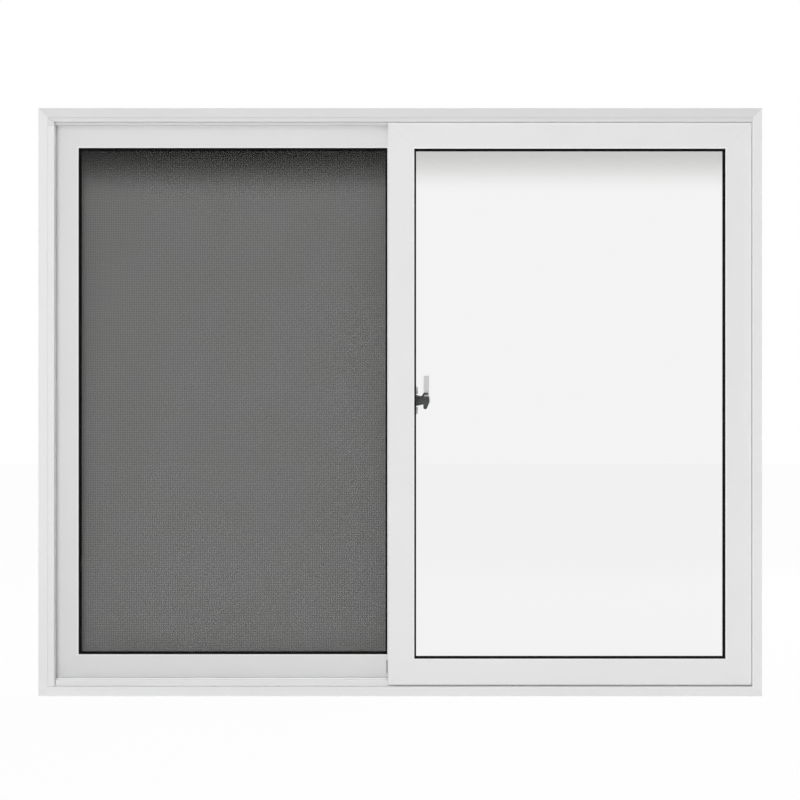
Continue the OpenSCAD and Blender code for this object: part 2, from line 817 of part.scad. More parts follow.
frame_head();
frame_sill();
frame_left_jamb();
frame_right_jamb();
rail_cap(front_y);  // front_rail_cap
rail_cap(rear_y);  // rear_rail_cap
track_fillers();
sash_side("top", front_x, front_y, front_z);  // front_sash_top_rail
sash_bottom(front_x, front_y, front_z);  // front_sash_bottom_rail
sash_side("left", front_x, front_y, front_z);  // front_sash_meeting_stile
sash_side("right", front_x, front_y, front_z);  // front_sash_outer_stile
sash_side("top", rear_x, rear_y, rear_z);  // rear_sash_top_rail
sash_bottom(rear_x, rear_y, rear_z);  // rear_sash_bottom_rail
sash_side("right", rear_x, rear_y, rear_z);  // rear_sash_meeting_stile
sash_side("left", rear_x, rear_y, rear_z);  // rear_sash_outer_stile
pane(front_x, front_y + glass_y, front_z);  // front_outer_pane
pane(front_x, front_y + glass_y + pane_t + cavity, front_z);  // front_inner_pane
glass_spacer(front_x, front_y, front_z);  // front_glass_spacer
pane(rear_x, rear_y + glass_y, rear_z);  // rear_outer_pane
pane(rear_x, rear_y + glass_y + pane_t + cavity, rear_z);  // rear_inner_pane
glass_spacer(rear_x, rear_y, rear_z);  // rear_glass_spacer
gaskets(front_x, front_y, front_z);  // front_gaskets
gaskets(rear_x, rear_y, rear_z);  // rear_gaskets
beads(["bottom", "top"], front_x, front_y, front_z);  // front_level_beads
beads(["left", "right"], front_x, front_y, front_z);  // front_upright_beads
beads(["bottom", "top"], rear_x, rear_y, rear_z);  // rear_level_beads
beads(["left", "right"], rear_x, rear_y, rear_z);  // rear_upright_beads
front_interlock();
rear_interlock();
carriages(front_x, front_y, front_z);  // front_roller_carriages
wheels(front_x, front_y);  // front_roller_wheels
carriages(rear_x, rear_y, rear_z);  // rear_roller_carriages
wheels(rear_x, rear_y);  // rear_roller_wheels
brush_seals(["bottom", "top", "right"], front_x, front_y, front_z);  // front_brush_seals
brush_seals(["bottom", "top", "left"], rear_x, rear_y, rear_z);  // rear_brush_seals
latch_base();
latch_cam();
latch_lever();
latch_keeper();
screen_side("top");  // screen_top_bar
screen_side("bottom");  // screen_bottom_bar
screen_side("left");  // screen_left_bar
screen_side("right");  // screen_right_bar
screen_mesh();
screen_spline();
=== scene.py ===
import bpy
import bmesh
import math
from math import radians
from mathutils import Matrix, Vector


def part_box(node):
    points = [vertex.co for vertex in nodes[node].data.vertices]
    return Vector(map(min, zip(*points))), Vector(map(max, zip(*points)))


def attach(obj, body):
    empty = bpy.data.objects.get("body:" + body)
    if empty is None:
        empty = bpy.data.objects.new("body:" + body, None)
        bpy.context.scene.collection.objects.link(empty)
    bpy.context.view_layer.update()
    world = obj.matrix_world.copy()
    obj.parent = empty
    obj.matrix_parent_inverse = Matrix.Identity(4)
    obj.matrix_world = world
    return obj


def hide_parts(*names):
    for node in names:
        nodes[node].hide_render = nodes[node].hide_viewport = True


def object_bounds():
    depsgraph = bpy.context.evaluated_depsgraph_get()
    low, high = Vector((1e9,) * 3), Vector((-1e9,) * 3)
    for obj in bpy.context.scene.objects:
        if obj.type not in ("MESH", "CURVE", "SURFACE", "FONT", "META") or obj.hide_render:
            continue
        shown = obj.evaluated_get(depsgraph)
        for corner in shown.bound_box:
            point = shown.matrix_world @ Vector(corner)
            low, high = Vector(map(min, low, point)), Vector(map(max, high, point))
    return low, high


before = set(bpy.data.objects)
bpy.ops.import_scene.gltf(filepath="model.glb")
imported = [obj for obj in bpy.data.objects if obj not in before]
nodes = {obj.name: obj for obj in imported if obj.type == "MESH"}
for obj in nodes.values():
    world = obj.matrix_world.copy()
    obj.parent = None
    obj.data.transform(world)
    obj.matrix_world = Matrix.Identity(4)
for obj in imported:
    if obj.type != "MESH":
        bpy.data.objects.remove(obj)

cadLow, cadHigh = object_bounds()
mm = 0.001
smoothAngle = radians(35)       # an edge sharper than this stays crisp

frameBars = ["frame_head", "frame_sill", "frame_left_jamb", "frame_right_jamb"]
frontSash = ["front_sash_top_rail", "front_sash_bottom_rail",
             "front_sash_meeting_stile", "front_sash_outer_stile"]
rearSash = [name.replace("front", "rear") for name in frontSash]
screenBars = ["screen_top_bar", "screen_bottom_bar", "screen_left_bar", "screen_right_bar"]
print("frame loaded:", len(nodes), "nodes")


# Helpers

# Colours are written as sRGB hex and turned to linear here
def hexToLinear(code):
    values = []
    for i in (1, 3, 5):
        c = int(code[i:i + 2], 16) / 255
        values.append(c / 12.92 if c <= 0.04045 else ((c + 0.055) / 1.055) ** 2.4)
    return (*values, 1.0)


# Adds one node with its settings and its links; an input is a value, or the output that feeds it
def addNode(tree, kind, inputs=None, **settings):
    node = tree.nodes.new(kind)
    for name, value in settings.items():
        setattr(node, name, value)
    for key, value in (inputs or {}).items():
        if isinstance(value, bpy.types.NodeSocket):
            tree.links.new(value, node.inputs[key])
        else:
            node.inputs[key].default_value = value
    return node


def newMaterial(name):
    material = bpy.data.materials.new(name)
    material.use_nodes = True
    tree = material.node_tree
    return material, tree, tree.nodes["Principled BSDF"]


def paint(material, *names):
    for name in names:
        piece = nodes[name]
        piece.data.materials.clear()
        piece.data.materials.append(material)


# Lowest and highest corners of several bars together
def ringBox(bars):
    lows, highs = zip(*(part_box(bar) for bar in bars))
    low = Vector((min(p[i] for p in lows) for i in range(3)))
    high = Vector((max(p[i] for p in highs) for i in range(3)))
    return low, high


# White bars

pvc = {
    "colours": ("#EEEEEE", "#ECECEC"),          # white with a trace of grey, slowly mottled
    "headShadedColours": ("#E1E1E1", "#DFDFDF"),      # painted shade: the head's face is coloured greyer, for the shade it lies in
    "rearShadedColours": ("#E8E8E8", "#E6E6E6"),      # painted shade: the rear sash is coloured greyer, for the shade it lies in behind the front sash
    "coatColours": ("#E6E7E6", "#DEDFDD"),      # powder coat on the screen's aluminium bars
    "roughness": (0.25, 0.39),                  # in and between the die lines
    "drawLinePitch": 1.6 * mm,                  # die lines run along the bar
    "drawLinesPerMetre": 6.0,   # how often a line changes along its length
    "drawLineDepth": 0.1 * mm,
    "mottlePerMetre": 5.0,
    "weldColour": "#E6E6E6",
    "weldWidth": 0.7 * mm,
    "weldDepth": 0.25 * mm,
    # painted highlight: a whiter band on each sash's lip beside the gasket, standing in for the
    # light its edge catches; the band is also glossier
    "paintedHighlightColour": "#FCFCFC",
    "paintedHighlightWidth": 2.2 * mm,
    "lipRoughness": 0.12,
    "ior": 1.53,
    "coat": 0.08,
    "headShadeReach": 30 * mm,       # painted shade: from the frame's top, down past the head's filler strip, the fillers take the head's greyer colours
}

# White rigid PVC, extruded: satin gloss, very fine lines drawn along each bar, and a cleaned
# weld groove across each mitre. The groove lies where the two sides' distances to the ring's
# outer edges are equal. On a sash, a painted highlight: a whiter, glossier band along the lip
# where it holds the gasket, for the light that edge catches. The last argument is how far that
# edge lies from the ring's outer edge.
def extrudedPvc(name, along, ring, colours, highlightedLip=None):
    material, tree, shader = newMaterial(name)
    low, high = ring
    place = addNode(tree, "ShaderNodeTexCoord").outputs["Object"]
    fine, slow = 1 / pvc["drawLinePitch"], pvc["drawLinesPerMetre"]
    stretch = (slow, fine, fine) if along == "x" else (fine, fine, slow)
    stretched = addNode(tree, "ShaderNodeMapping", {"Vector": place, "Scale": stretch})
    lines = addNode(tree, "ShaderNodeTexNoise", {
        "Vector": stretched.outputs["Vector"], "Scale": 1.0, "Detail": 2.0, "Roughness": 0.5})
    mottle = addNode(tree, "ShaderNodeTexNoise", {
        "Vector": place, "Scale": pvc["mottlePerMetre"], "Detail": 4.0, "Roughness": 0.6})
    tone = addNode(tree, "ShaderNodeMapRange", {
        "Value": mottle.outputs["Fac"], "From Min": 0.35, "From Max": 0.7})
    axes = addNode(tree, "ShaderNodeSeparateXYZ", {"Vector": place})
    inside = []
    for axis, lo, hi in (("X", low.x, high.x), ("Z", low.z, high.z)):
        offset = addNode(tree, "ShaderNodeMath", {
            0: axes.outputs[axis], 1: (lo + hi) / 2}, operation="SUBTRACT")
        far = addNode(tree, "ShaderNodeMath", {0: offset.outputs[0]}, operation="ABSOLUTE")
        within = addNode(tree, "ShaderNodeMath", {
            0: (hi - lo) / 2, 1: far.outputs[0]}, operation="SUBTRACT")
        inside.append(within.outputs[0])
    across = addNode(tree, "ShaderNodeMath", {0: inside[0], 1: inside[1]}, operation="SUBTRACT")
    away = addNode(tree, "ShaderNodeMath", {0: across.outputs[0]}, operation="ABSOLUTE")
    weld = addNode(tree, "ShaderNodeMapRange", {
        "Value": away.outputs[0], "From Min": 0.0, "From Max": pvc["weldWidth"],
        "To Min": 1.0, "To Max": 0.0}, interpolation_type="SMOOTHSTEP")
    body = addNode(tree, "ShaderNodeMix", {
        "Factor": tone.outputs[0], "A": hexToLinear(colours[0]), "B": hexToLinear(colours[1])},
        data_type="RGBA")
    seamed = addNode(tree, "ShaderNodeMix", {
        "Factor": weld.outputs[0], "A": body.outputs["Result"],
        "B": hexToLinear(pvc["weldColour"])}, data_type="RGBA")
    rough = addNode(tree, "ShaderNodeMapRange", {
        "Value": lines.outputs["Fac"],
        "To Min": pvc["roughness"][0], "To Max": pvc["roughness"][1]})
    # painted highlight: whiter and glossier band along the lip beside the gasket
    if highlightedLip:
        depth = addNode(tree, "ShaderNodeMath", {0: inside[0], 1: inside[1]}, operation="MINIMUM")
        edge = addNode(tree, "ShaderNodeMapRange", {
            "Value": depth.outputs[0], "From Min": highlightedLip - pvc["paintedHighlightWidth"],
            "From Max": highlightedLip - 0.7 * pvc["paintedHighlightWidth"]}, interpolation_type="SMOOTHSTEP")
        seamed = addNode(tree, "ShaderNodeMix", {
            "Factor": edge.outputs[0], "A": seamed.outputs["Result"],
            "B": hexToLinear(pvc["paintedHighlightColour"])}, data_type="RGBA")
        rough = addNode(tree, "ShaderNodeMapRange", {
            "Value": edge.outputs[0], "To Min": rough.outputs[0], "To Max": pvc["lipRoughness"]})
    drawn = addNode(tree, "ShaderNodeBump", {
        "Height": lines.outputs["Fac"], "Strength": 0.05, "Distance": pvc["drawLineDepth"]})
    groove = addNode(tree, "ShaderNodeBump", {
        "Height": weld.outputs[0], "Normal": drawn.outputs["Normal"], "Strength": 0.6,
        "Distance": pvc["weldDepth"]}, invert=True)
    tree.links.new(seamed.outputs["Result"], shader.inputs["Base Color"])
    tree.links.new(rough.outputs[0], shader.inputs["Roughness"])
    tree.links.new(groove.outputs["Normal"], shader.inputs["Normal"])
    shader.inputs["IOR"].default_value = pvc["ior"]
    shader.inputs["Coat Weight"].default_value = pvc["coat"]
    return material


# The two filler strips are one piece of the record. It is made of the head's PVC, with the head's
# painted shade above the given height and the jamb's colours below it, where the jamb's strip is
def fillerPvc(head, height):
    material = head.copy()
    material.name = "extrudedPvcFillersHeadShaded"
    tree = material.node_tree
    shader = tree.nodes["Principled BSDF"]
    seamed = shader.inputs["Base Color"].links[0].from_node
    body = seamed.inputs["A"].links[0].from_node
    mottle = body.inputs["Factor"].links[0].from_socket
    place = addNode(tree, "ShaderNodeTexCoord").outputs["Object"]
    level = addNode(tree, "ShaderNodeSeparateXYZ", {"Vector": place}).outputs["Z"]
    upper = addNode(tree, "ShaderNodeMath", {0: level, 1: height}, operation="GREATER_THAN")
    tones = []
    for first, second in (pvc["colours"], pvc["headShadedColours"]):
        tones.append(addNode(tree, "ShaderNodeMix", {
            "Factor": mottle, "A": hexToLinear(first), "B": hexToLinear(second)},
            data_type="RGBA").outputs["Result"])
    tone = addNode(tree, "ShaderNodeMix", {
        "Factor": upper.outputs[0], "A": tones[0], "B": tones[1]}, data_type="RGBA")
    tree.links.new(tone.outputs["Result"], shader.inputs["Base Color"])
    return material


def dressBars():
    for label, bars in (("frame", frameBars), ("frontSash", frontSash), ("rearSash", rearSash)):
        ring = ringBox(bars)
        # painted shade: the rear sash's bars get greyer colours
        colours = pvc["rearShadedColours"] if label == "rearSash" else pvc["colours"]
        # where the sash's painted highlight band goes
        low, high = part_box(bars[3])
        highlightedLip = None if label == "frame" else high.x - low.x
        level = extrudedPvc("extrudedPvcLevel_" + label, "x", ring, colours, highlightedLip)
        upright = extrudedPvc("extrudedPvcUpright_" + label, "z", ring, colours, highlightedLip)
        paint(level, bars[0], bars[1])
        paint(upright, bars[2], bars[3])
        if label == "frame":
            # painted shade: the head gets greyer colours than the jambs
            head = extrudedPvc("extrudedPvcHeadShaded", "x", ring, pvc["headShadedColours"])
            paint(head, bars[0])
            paint(fillerPvc(head, ring[1].z - pvc["headShadeReach"]), "track_fillers")
        else:
            side = label.replace("Sash", "")
            paint(level, side + "_level_beads")
            paint(upright, side + "_upright_beads", side + "_interlock")
    # The screen's bars are aluminium, rolled, with a white polyester powder coat
    ring = ringBox(screenBars)
    paint(extrudedPvc("powderCoatLevel", "x", ring, pvc["coatColours"]), *screenBars[:2])
    paint(extrudedPvc("powderCoatUpright", "z", ring, pvc["coatColours"]), *screenBars[2:])


# Glass

glass = {
    "tint": "#F9F9F9",
    "shadowTint": "#FAFBFA",    # of the light that passes straight through to cast shadows
    "ior": 1.16,                # lowered by an anti-glare coat
    "roughness": 0.0,
    "rollDepth": 0.2 * mm,
    # painted shade: a greyer tint along the top of each pane, and how far down it fades
    "topShade": "#E2E2E1",
    "topShadeDepth": 75 * mm,
    "covered": 11 * mm,         # the bars hide this much of a pane's edge
}

# Float glass, clear, with a coat that lowers its gloss, so that what is behind it stays dark.
# Along the top of each pane the tint turns grey: a painted shade, for the shadow the head casts
# beyond the glass.
def floatGlass(top):
    material, tree, shader = newMaterial("floatGlass")
    place = addNode(tree, "ShaderNodeTexCoord").outputs["Object"]
    roll = addNode(tree, "ShaderNodeTexNoise", {"Vector": place, "Scale": 2.2, "Detail": 1.0})
    wave = addNode(tree, "ShaderNodeBump", {
        "Height": roll.outputs["Fac"], "Strength": 0.02, "Distance": glass["rollDepth"]})
    tree.links.new(wave.outputs["Normal"], shader.inputs["Normal"])
    height = addNode(tree, "ShaderNodeSeparateXYZ", {"Vector": place}).outputs["Z"]
    # painted shade: the tint greys towards the pane's top
    topShade = addNode(tree, "ShaderNodeMapRange", {
        "Value": height, "From Min": top - glass["topShadeDepth"], "From Max": top},
        interpolation_type="SMOOTHSTEP")
    tint = addNode(tree, "ShaderNodeMix", {
        "Factor": topShade.outputs[0], "A": hexToLinear(glass["tint"]),
        "B": hexToLinear(glass["topShade"])}, data_type="RGBA")
    tree.links.new(tint.outputs["Result"], shader.inputs["Base Color"])
    shader.inputs["IOR"].default_value = glass["ior"]
    shader.inputs["Roughness"].default_value = glass["roughness"]
    shader.inputs["Transmission Weight"].default_value = 1.0
    clear = addNode(tree, "ShaderNodeBsdfTransparent", {"Color": hexToLinear(glass["shadowTint"])})
    path = addNode(tree, "ShaderNodeLightPath")
    mix = addNode(tree, "ShaderNodeMixShader", {
        0: path.outputs["Is Shadow Ray"], 1: shader.outputs[0], 2: clear.outputs[0]})
    tree.links.new(mix.outputs[0], tree.nodes["Material Output"].inputs["Surface"])
    return material


# Small parts

finishes = {
    # EPDM, extruded: black, dull, slightly dusty
    "extrudedRubber": {
        "colours": ("#0A0A0B", "#101011"), "roughness": 0.65, "grain": 0.4 * mm, "gloss": 0.12},
    # Nylon, moulded: black housings, natural wheels
    "mouldedNylonBlack": {
        "colours": ("#1B1B1C", "#262627"), "roughness": 0.48, "grain": 0.3 * mm},
    "mouldedNylonNatural": {
        "colours": ("#DEDCD2", "#D2D0C4"), "roughness": 0.42, "grain": 0.3 * mm, "ior": 1.53},
    # Polypropylene, woven with a cut pile: grey and matt
    "pileStrip": {
        "colours": ("#77797B", "#5E6062"), "roughness": 0.85, "grain": 0.25 * mm, "bump": 0.8},
    # Zinc, die cast, with a stoved paint: dark grey on what turns, nearly white on the base
    "paintedZincDark": {
        "colours": ("#4A4B4C", "#414243"), "roughness": 0.42, "grain": 0.35 * mm, "bump": 0.3,
        "gloss": 0.35},
    "paintedZincPale": {
        "colours": ("#F8F8F8", "#F1F1F1"), "roughness": 0.4, "grain": 0.35 * mm, "bump": 0.2},
    # ABS, moulded: pale grey, finely textured by the mould
    "mouldedAbs": {
        "colours": ("#ECEBEB", "#E4E3E3"), "roughness": 0.38, "grain": 0.3 * mm},
    # Polyethylene, moulded: black, soft and a little waxy
    "mouldedPolyethylene": {
        "colours": ("#202122", "#2A2B2C"), "roughness": 0.5, "grain": 0.3 * mm},
    # Steel, cold headed and zinc plated: bright, a little blue
    "zincPlatedSteel": {
        "colours": ("#C9CCD0", "#B9BDC2"), "roughness": 0.3, "grain": 0.3 * mm, "metallic": 1.0},
}

grain = {"cloudsPerMetre": 40.0, "depth": 0.05 * mm, "smoother": 0.06, "rougher": 0.08}

# A plain finish with grain: colour and roughness wander a little, and the skin is finely rough
def grainy(name):
    material, tree, shader = newMaterial(name)
    finish = finishes[name]
    roughness = finish["roughness"]
    place = addNode(tree, "ShaderNodeTexCoord").outputs["Object"]
    noise = addNode(tree, "ShaderNodeTexNoise", {
        "Vector": place, "Scale": 1 / finish["grain"], "Detail": 3.0})
    cloud = addNode(tree, "ShaderNodeTexNoise", {
        "Vector": place, "Scale": grain["cloudsPerMetre"], "Detail": 3.0})
    first, second = finish["colours"]
    tint = addNode(tree, "ShaderNodeMix", {
        "Factor": cloud.outputs["Fac"], "A": hexToLinear(first), "B": hexToLinear(second)},
        data_type="RGBA")
    rough = addNode(tree, "ShaderNodeMapRange", {
        "Value": noise.outputs["Fac"],
        "To Min": roughness - grain["smoother"], "To Max": roughness + grain["rougher"]})
    skin = addNode(tree, "ShaderNodeBump", {
        "Height": noise.outputs["Fac"], "Strength": finish.get("bump", 0.15),
        "Distance": grain["depth"]})
    tree.links.new(tint.outputs["Result"], shader.inputs["Base Color"])
    tree.links.new(rough.outputs[0], shader.inputs["Roughness"])
    tree.links.new(skin.outputs["Normal"], shader.inputs["Normal"])
    shader.inputs["Metallic"].default_value = finish.get("metallic", 0.0)
    if "metallic" not in finish:
        shader.inputs["IOR"].default_value = finish.get("ior", 1.5)
        shader.inputs["Specular IOR Level"].default_value = finish.get("gloss", 0.5)
    return material


aluminium = {
    # name: direction of the strokes, two colours, roughness
    "rolledSpacer": ("z", "#B9BBBD", "#A8ABAD", 0.42),
    "extrudedRailCap": ("x", "#F3F4F5", "#E4E6E8", 0.3),
}
strokes = {
    "pitch": 0.4 * mm, "perMetre": 12.0, "depth": 0.03 * mm, "smoother": 0.08, "rougher": 0.1}

# Bare aluminium, rolled or extruded: fine scratches along its length
def drawnAluminium(name):
    along, first, second, roughness = aluminium[name]
    material, tree, shader = newMaterial(name)
    place = addNode(tree, "ShaderNodeTexCoord").outputs["Object"]
    fine, slow = 1 / strokes["pitch"], strokes["perMetre"]
    stretch = (slow, fine, fine) if along == "x" else (fine, fine, slow)
    stretched = addNode(tree, "ShaderNodeMapping", {"Vector": place, "Scale": stretch})
    lines = addNode(tree, "ShaderNodeTexNoise", {
        "Vector": stretched.outputs["Vector"], "Scale": 1.0, "Detail": 2.0})
    tint = addNode(tree, "ShaderNodeMix", {
        "Factor": lines.outputs["Fac"], "A": hexToLinear(first), "B": hexToLinear(second)},
        data_type="RGBA")
    rough = addNode(tree, "ShaderNodeMapRange", {
        "Value": lines.outputs["Fac"],
        "To Min": roughness - strokes["smoother"], "To Max": roughness + strokes["rougher"]})
    skin = addNode(tree, "ShaderNodeBump", {
        "Height": lines.outputs["Fac"], "Strength": 0.2, "Distance": strokes["depth"]})
    tree.links.new(tint.outputs["Result"], shader.inputs["Base Color"])
    tree.links.new(rough.outputs[0], shader.inputs["Roughness"])
    tree.links.new(skin.outputs["Normal"], shader.inputs["Normal"])
    shader.inputs["Metallic"].default_value = 1.0
    return material


def dressSmallParts():
    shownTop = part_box("front_outer_pane")[1].z - glass["covered"]
    paint(floatGlass(shownTop),
          "front_outer_pane", "front_inner_pane", "rear_outer_pane", "rear_inner_pane")
    paint(drawnAluminium("rolledSpacer"), "front_glass_spacer", "rear_glass_spacer")
    paint(drawnAluminium("extrudedRailCap"), "front_rail_cap", "rear_rail_cap")
    paint(grainy("extrudedRubber"), "front_gaskets", "rear_gaskets", "screen_spline")
    paint(grainy("mouldedNylonBlack"), "front_roller_carriages", "rear_roller_carriages")
    paint(grainy("mouldedNylonNatural"), "front_roller_wheels", "rear_roller_wheels")
    paint(grainy("pileStrip"), "front_brush_seals", "rear_brush_seals")
    paint(grainy("paintedZincDark"), "latch_cam", "latch_keeper")
    paint(grainy("paintedZincPale"), "latch_base")
    paint(grainy("mouldedAbs"), "latch_lever")


dressBars()
dressSmallParts()
print("CAD pieces dressed")


# Modelling steps that several pieces share

def selectOnly(*objects):
    bpy.ops.object.select_all(action="DESELECT")
    for o in objects:
        o.select_set(True)
    bpy.context.view_layer.objects.active = objects[0]


def startBox(low, high):
    bpy.ops.object.select_all(action="DESELECT")
    bpy.ops.mesh.primitive_cube_add(size=1.0, location=(low + high) / 2)
    box = bpy.context.active_object
    box.scale = high - low
    bpy.ops.object.transform_apply(location=True, rotation=True, scale=True)
    return box


# Selects the vertices, edges or faces that pass a test, and nothing else
def pick(piece, kind, test):
    bpy.ops.mesh.select_mode(type=kind)
    bpy.ops.mesh.select_all(action="DESELECT")
    form = bmesh.from_edit_mesh(piece.data)
    for part in {"VERT": form.verts, "EDGE": form.edges, "FACE": form.faces}[kind]:
        if test(part):
            part.select_set(True)
    bmesh.update_edit_mesh(piece.data)


def grow(step, scale=(1, 1, 1), centre=(0, 0, 0)):
    bpy.ops.mesh.extrude_region_move(TRANSFORM_OT_translate={"value": step})
    bpy.ops.transform.resize(value=scale, center_override=centre)


def finishPiece(piece, name, material):
    piece.name = name
    piece.data.name = name
    selectOnly(piece)
    bpy.ops.object.transform_apply(location=True, rotation=True, scale=True)
    piece.data.materials.clear()
    piece.data.materials.append(material)
    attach(piece, "root")
    return piece


# A copy has a mesh of its own, and a mirrored one has its faces turned outward again
def copyPiece(piece, name, move=(0, 0, 0), mirrorAt=None):
    selectOnly(piece)
    bpy.ops.object.duplicate(linked=False)
    copy = bpy.context.view_layer.objects.active
    copy.location = move
    if mirrorAt is not None:
        copy.scale.x = -1
        copy.location.x = 2 * mirrorAt
        bpy.ops.object.transform_apply(location=True, rotation=True, scale=True)
        bpy.ops.object.mode_set(mode="EDIT")
        bpy.ops.mesh.select_all(action="SELECT")
        bpy.ops.mesh.normals_make_consistent(inside=False)
        bpy.ops.object.mode_set(mode="OBJECT")
    return finishPiece(copy, name, piece.data.materials[0])


# Insect screen

# The mesh is glass-fibre yarn in a vinyl coat. Real yarn is 0.3 mm thick at a pitch of 1.4 mm:
# it is drawn twice as coarse and closer, so that the weave shows at this distance.
screenMesh = {
    "pitch": 3.0 * mm,
    "yarn": 2.62 * mm,
    "sides": 8,
    "trim": 0.2 * mm,           # cut back from the edges of the sheet
    "fill": 0.98,               # of the sheet's thickness, flattened by the coating rolls
    "colours": ("#71716D", "#79777A"),          # the coat's grey, slowly mottled
    "paintedShadow": "#080906",         # painted shadow: dark along the top, where the head shades the mesh
    "paintedShadowDepth": 105 * mm,
    "cloudsPerMetre": 14.0,
    "fibre": 1.5 * mm,
    "roughness": (0.5, 0.65),
    "gloss": 0.15,
}

def meshCoat(top):
    material, tree, shader = newMaterial("coatedFibreglassYarn")
    place = addNode(tree, "ShaderNodeTexCoord").outputs["Object"]
    fibres = addNode(tree, "ShaderNodeTexNoise", {
        "Vector": place, "Scale": 1 / screenMesh["fibre"], "Detail": 3.0})
    cloud = addNode(tree, "ShaderNodeTexNoise", {
        "Vector": place, "Scale": screenMesh["cloudsPerMetre"], "Detail": 5.0, "Roughness": 0.65})
    height = addNode(tree, "ShaderNodeSeparateXYZ", {"Vector": place}).outputs["Z"]
    # painted shadow: the yarn's colour turns dark towards the top of the mesh
    headShadow = addNode(tree, "ShaderNodeMapRange", {
        "Value": height, "From Min": top, "From Max": top - screenMesh["paintedShadowDepth"]},
        interpolation_type="SMOOTHSTEP")
    first, second = screenMesh["colours"]
    mottledGrey = addNode(tree, "ShaderNodeMix", {
        "Factor": cloud.outputs["Fac"], "A": hexToLinear(first), "B": hexToLinear(second)},
        data_type="RGBA")
    coat = addNode(tree, "ShaderNodeMix", {
        "Factor": headShadow.outputs[0], "A": hexToLinear(screenMesh["paintedShadow"]),
        "B": mottledGrey.outputs["Result"]}, data_type="RGBA")
    low, high = screenMesh["roughness"]
    rough = addNode(tree, "ShaderNodeMapRange", {
        "Value": fibres.outputs["Fac"], "To Min": low, "To Max": high})
    skin = addNode(tree, "ShaderNodeBump", {
        "Height": fibres.outputs["Fac"], "Strength": 0.3, "Distance": 0.1 * mm})
    tree.links.new(coat.outputs["Result"], shader.inputs["Base Color"])
    tree.links.new(rough.outputs[0], shader.inputs["Roughness"])
    tree.links.new(skin.outputs["Normal"], shader.inputs["Normal"])
    shader.inputs["Specular IOR Level"].default_value = screenMesh["gloss"]
    return material


# One straight yarn, repeated along the other axis by an array
def yarnRow(low, high, along):
    level = along == "x"
    pitch = screenMesh["pitch"]
    size = high - low
    length, span = (size.x, size.z) if level else (size.z, size.x)
    count = int(span / pitch)
    step = Vector((0, 0, pitch)) if level else Vector((pitch, 0, 0))
    bpy.ops.object.select_all(action="DESELECT")
    bpy.ops.mesh.primitive_cylinder_add(
        vertices=screenMesh["sides"], radius=screenMesh["yarn"] / 2,
        depth=length - screenMesh["trim"], location=(low + high - step * (count - 1)) / 2,
        rotation=(0, radians(90), 0) if level else (0, 0, 0))
    yarn = bpy.context.active_object
    yarn.scale.y = screenMesh["fill"] * size.y / screenMesh["yarn"]
    bpy.ops.object.transform_apply(location=True, rotation=True, scale=True)
    array = yarn.modifiers.new("row", "ARRAY")
    array.count = count
    array.use_relative_offset = False
    array.use_constant_offset = True
    array.constant_offset_displace = step
    bpy.ops.object.modifier_apply(modifier=array.name)
    return yarn


def makeMesh():
    low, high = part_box("screen_mesh")
    level = yarnRow(low, high, "x")
    upright = yarnRow(low, high, "z")
    selectOnly(level, upright)
    bpy.ops.object.join()
    woven = finishPiece(level, "insectMesh", meshCoat(high.z))
    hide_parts("screen_mesh")


makeMesh()
print("insect mesh woven")


# Small fittings

screw = {
    "shank": 2.0 * mm,          # radii, as are head and recess
    "head": 4.1 * mm,
    "recess": 2.3 * mm,
    "recessDepth": 1.1 * mm,
    "armScale": 0.42,           # how far the corners between the arms go in
    "pitScale": 0.6,            # the recess narrows as it goes down
    "cone": 1.9 * mm,
    "rim": 0.25 * mm,
    "rimScale": 0.97,
    "sides": 24,
    "length": 6.0 * mm,
    "seat": 6.4 * mm,           # from the stile's face to the tops of the base's bosses
    "apart": 33.6 * mm,
}

# Countersunk screw with a cross recess, driven along -X, its head flush at the given point
def latchScrew(name, at, material):
    headLength = screw["cone"] + screw["rim"]
    bpy.ops.object.select_all(action="DESELECT")
    bpy.ops.mesh.primitive_cylinder_add(
        vertices=screw["sides"], radius=screw["shank"], depth=screw["length"] - headLength,
        location=at - Vector(((screw["length"] + headLength) / 2, 0, 0)),
        rotation=(0, radians(90), 0))
    body = bpy.context.active_object
    bpy.ops.object.transform_apply(location=True, rotation=True, scale=True)
    bpy.ops.object.mode_set(mode="EDIT")
    pick(body, "FACE", lambda face: face.normal.x > 0.9)
    flare, rim = screw["head"] / screw["shank"], screw["rimScale"]
    grow((screw["cone"], 0, 0), (1, flare, flare), at)
    grow((screw["rim"], 0, 0), (1, rim, rim), at)
    bpy.ops.mesh.inset(thickness=screw["head"] * rim - screw["recess"], depth=0)

    # the corners between the arms go in, and that makes the cross
    def betweenArms(corner):
        turn = math.degrees(math.atan2(corner.co.z - at.z, corner.co.y - at.y)) % 90
        return 20 < turn < 70 and (corner.co - at).length < 1.1 * screw["recess"]

    pick(body, "VERT", betweenArms)
    bpy.ops.transform.resize(value=(1, screw["armScale"], screw["armScale"]), center_override=at)
    pick(body, "FACE", lambda face: face.normal.x > 0.9 and len(face.verts) == screw["sides"]
         and (face.calc_center_median() - at).length < 0.3 * mm)
    grow((-screw["recessDepth"], 0, 0), (1, screw["pitScale"], screw["pitScale"]), at)
    bpy.ops.object.mode_set(mode="OBJECT")
    bpy.ops.object.shade_smooth_by_angle(angle=smoothAngle)
    return finishPiece(body, name, material)


buffer = {
    "low": Vector((-22.2, -34.4, 36.4)) * mm,
    "high": Vector((-21.1, -27.4, 58.8)) * mm,
    "rim": 0.9 * mm,            # round the raised pad
    "pad": 0.4 * mm,
    "padScale": (1, 0.86, 0.94),
    "edge": 0.15 * mm,
}

